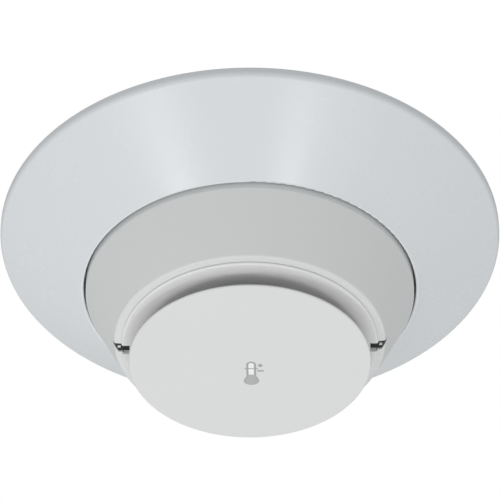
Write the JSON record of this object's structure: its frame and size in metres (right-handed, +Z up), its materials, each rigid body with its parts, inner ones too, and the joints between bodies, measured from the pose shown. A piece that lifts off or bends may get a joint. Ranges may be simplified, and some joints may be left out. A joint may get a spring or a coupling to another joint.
{
  "type": "heat detector",
  "caption": "Round ceiling heat detector with a wide conical trim skirt, a twist-off conical head, a notched collar and a flat front disc over an open air gap.",
  "frame": {"origin": "centre of the base's back face, on the ceiling plane", "axes": "+Z up into the ceiling along the detector's axis, +X along the line of the two screw slots; the front disc faces -Z"},
  "size_m": [0.173, 0.173, 0.0563],
  "materials": {
    "skirt_plastic": "satin",
    "base_plastic": "fine matt",
    "lever_plastic": "satin",
    "shell_plastic": "fine satin",
    "cap_plastic": "fine satin",
    "disc_plastic": "fine matt",
    "cover_plastic": "fine matt",
    "spring_bronze": "rolled",
    "contact_metal": "plated",
    "plated_steel": "zinc plated",
    "label_film": "blank silver film",
    "board_laminate": "solder mask",
    "chip_resin": "moulded",
    "capacitor_can": "drawn",
    "resistor_ceramic": "fired",
    "led_resin": "clear",
    "clear_acrylic": "clear",
    "shroud_plastic": "moulded",
    "sensor_epoxy": "dipped",
    "lead_wire": "tinned"
  },
  "bodies": {
    "base": {"mounting_base": "base_plastic", "contact_springs": "spring_bronze", "terminal_plates": "plated_steel", "terminal_screws": "plated_steel"},
    "lock_catch": {"lock_lever": "lever_plastic"},
    "skirt": {"trim_skirt": "skirt_plastic"},
    "head": {"rear_cover": "cover_plastic", "head_shell": "shell_plastic", "sensor_cap": "cap_plastic", "front_disc": "disc_plastic", "contact_blades": "contact_metal", "case_screws": "plated_steel", "rating_label": "label_film", "circuit_board": "board_laminate", "board_screws": "plated_steel", "control_chip": "chip_resin", "capacitors": "capacitor_can", "surge_diodes": "chip_resin", "chip_resistors": "resistor_ceramic", "status_leds": "led_resin", "light_guides": "clear_acrylic", "guide_shrouds": "shroud_plastic", "thermistor_bead": "sensor_epoxy", "thermistor_leads": "lead_wire", "thermistor_holder": "cover_plastic"}
  },
  "joints": [
    {"name": "head_twist", "type": "hinge", "parent": "base", "child": "head", "pos_m": [0, 0, 0], "axis": [0, 0, -1], "range_deg": [0, 18]},
    {"name": "skirt_drop", "type": "slide", "parent": "base", "child": "skirt", "axis": [0, 0, -1], "range_m": [0, 0.06]},
    {"name": "lock_lever_tip", "type": "hinge", "parent": "base", "child": "lock_catch", "pos_m": [-0.013, 0.041, -0.0044], "axis": [0, -1, 0], "range_deg": [0, 6], "stiffness_Nm_per_rad": 0.05}
  ]
}
